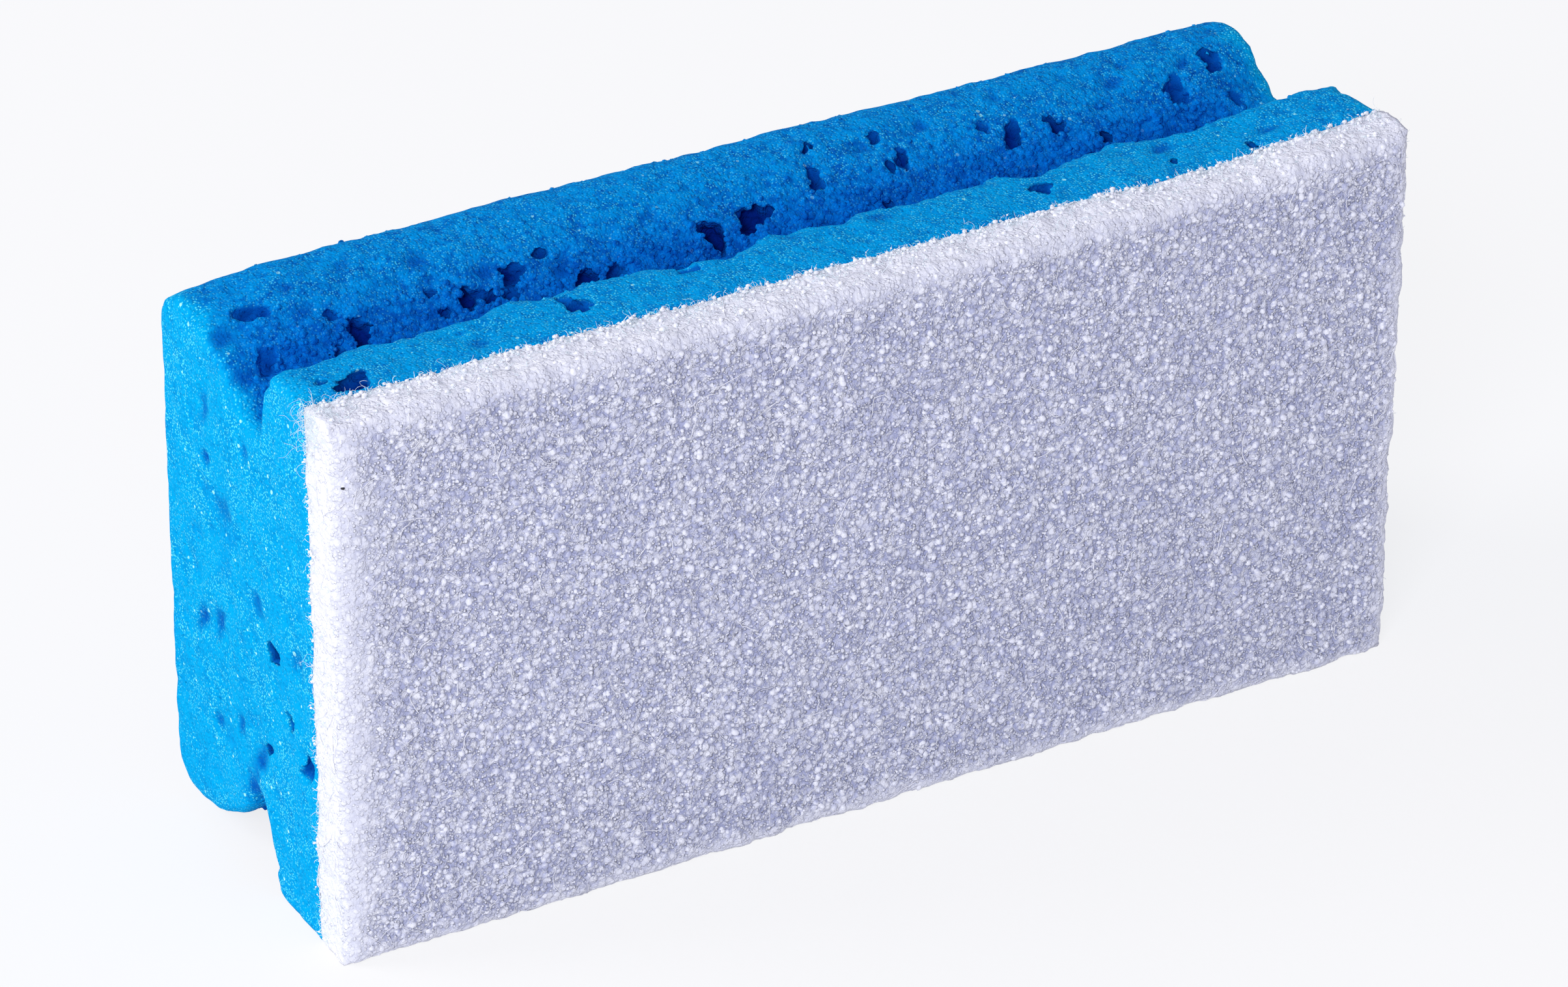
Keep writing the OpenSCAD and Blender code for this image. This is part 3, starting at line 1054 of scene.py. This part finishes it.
def pad_strands(look, face):
    """Longer fibres that lie in the pad's face and bend with it."""
    rng = random.Random(31)
    strands = []
    for _ in range(look.strands):
        place, outward = on_pad(face, rng)
        heading = any_way(rng)
        heading = heading - outward * heading.dot(outward)
        length = MM * rng.uniform(1.0, 5.0)
        bend = rng.uniform(0.5, 3.5)
        points = curl(place, heading, length, bend, rng, steps=7, rest=outward)
        lift = outward * rng.uniform(0.02, 0.1) * MM
        points = [face.skin.find_nearest(point)[0] + lift for point in points]
        for point in points:
            point.z = max(point.z, PAD_LOW.z + 0.2 * MM)
        strands.append((points, rng.choice((1.0, 1.3, 1.6, 2.5))))
    return fibres("pad_strands", look, look.fibre, strands)


def soft_lamp(name, place, target, size, power, colour):
    """A square lamp at place that points at target."""
    lamp = bpy.data.lights.new(name, "AREA")
    lamp.size = size
    lamp.energy = power
    lamp.color = colour
    holder = new_object(name, lamp)
    place, target = Vector(place), Vector(target)
    turn = (place - target).to_track_quat("Z", "Y").to_matrix().to_4x4()
    holder.matrix_world = Matrix.Translation(place) @ turn


def camera(look):
    """A camera where the photograph's stood; its place, turn and lens were fitted to the picture."""
    a, e = look.azimuth, look.elevation
    back = Vector((math.sin(a) * math.cos(e), -math.cos(a) * math.cos(e), math.sin(e)))
    data = bpy.data.cameras.new("camera")
    data.sensor_width = 36
    data.lens = look.lens
    data.clip_start, data.clip_end = 0.01, 20
    holder = new_object("camera", data)
    turn = back.to_track_quat("Z", "Y").to_matrix().to_4x4()
    holder.matrix_world = (
        Matrix.Translation(Vector(look.aim) + back * look.distance)
        @ turn @ Matrix.Rotation(look.roll, 4, "Z"))
    bpy.context.scene.camera = holder


class SPONGE_OT_foam(bpy.types.Operator):
    """Make the foam block with its finger grooves and coarse cells"""

    bl_idname = "sponge.foam"
    bl_label = "Foam block"

    def execute(self, context):
        look = context.scene.sponge_foam
        body, untouched = foam_piece(look)
        knobs = foam_knobs(look, body, untouched)
        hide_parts("foam_block")
        for piece in (body, knobs):
            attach(piece, "root")
        return {"FINISHED"}


class SPONGE_OT_pad(bpy.types.Operator):
    """Make the scouring pad with its nodules, strands and fringe"""

    bl_idname = "sponge.pad"
    bl_label = "Scouring pad"

    def execute(self, context):
        look = context.scene.sponge_pad
        face = PadFace(look)
        body = pad_body(look, face)
        settle(body)
        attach(body, "root")
        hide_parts("scouring_pad")
        fringe, drops = pad_fringe(look, face)
        nodules = pad_nodules(look, face, drops)
        for piece in (fringe, nodules, pad_strands(look, face), pad_crumb(face)):
            settle(piece)
            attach(piece, "root")
        return {"FINISHED"}


class SPONGE_OT_stage(bpy.types.Operator):
    """Make the floor, the lamps and the camera"""

    bl_idname = "sponge.stage"
    bl_label = "Stage"

    def execute(self, context):
        look = context.scene.sponge_stage
        bm = bmesh.new()
        bmesh.ops.create_grid(bm, x_segments=8, y_segments=8, size=3.0)
        floor = new_object("floor", mesh_from(bm, "floor"))
        floor.data.materials.append(floor_finish(look))
        middle = (0, 0, 0.03)
        soft_lamp("key", (-1.0, 0.6, 0.85), middle, 0.7, look.key, colour=(1, 1, 1))
        soft_lamp("fill", (-0.8, -0.85, 0.75), middle, 0.35, look.fill, colour=(0.88, 0.90, 1.0))
        world = bpy.data.worlds.new("sky")
        world.use_nodes = True
        background = world.node_tree.nodes["Background"]
        background.inputs["Color"].default_value = (0.89, 0.90, 1.12, 1)
        background.inputs["Strength"].default_value = look.sky
        context.scene.world = world
        context.scene.view_settings.view_transform = "Standard"
        camera(look)
        return {"FINISHED"}


class SPONGE_PT_panel(bpy.types.Panel):
    """Buttons for the sponge's pieces"""

    bl_label = "Cleaning sponge"
    bl_idname = "SPONGE_PT_panel"
    bl_space_type = "VIEW_3D"
    bl_region_type = "UI"
    bl_category = "Sponge"

    def draw(self, context):
        for group, operator in (
                ("sponge_foam", "sponge.foam"), ("sponge_pad", "sponge.pad"),
                ("sponge_stage", "sponge.stage")):
            look = getattr(context.scene, group)
            for name in look.bl_rna.properties.keys():
                if name not in ("rna_type", "name"):
                    self.layout.prop(look, name)
            self.layout.operator(operator)


LOOKS = {"sponge_foam": FoamLook, "sponge_pad": PadLook, "sponge_stage": StageLook}
CLASSES = (*LOOKS.values(), SPONGE_OT_foam, SPONGE_OT_pad, SPONGE_OT_stage, SPONGE_PT_panel)


def register():
    for kind in CLASSES:
        bpy.utils.register_class(kind)
    for name, kind in LOOKS.items():
        setattr(bpy.types.Scene, name, bpy.props.PointerProperty(type=kind))


def unregister():
    for name in LOOKS:
        delattr(bpy.types.Scene, name)
    for kind in reversed(CLASSES):
        bpy.utils.unregister_class(kind)


def main():
    register()
    bpy.ops.sponge.stage()
    bpy.ops.sponge.foam()
    bpy.ops.sponge.pad()


if __name__ == "__main__":
    main()
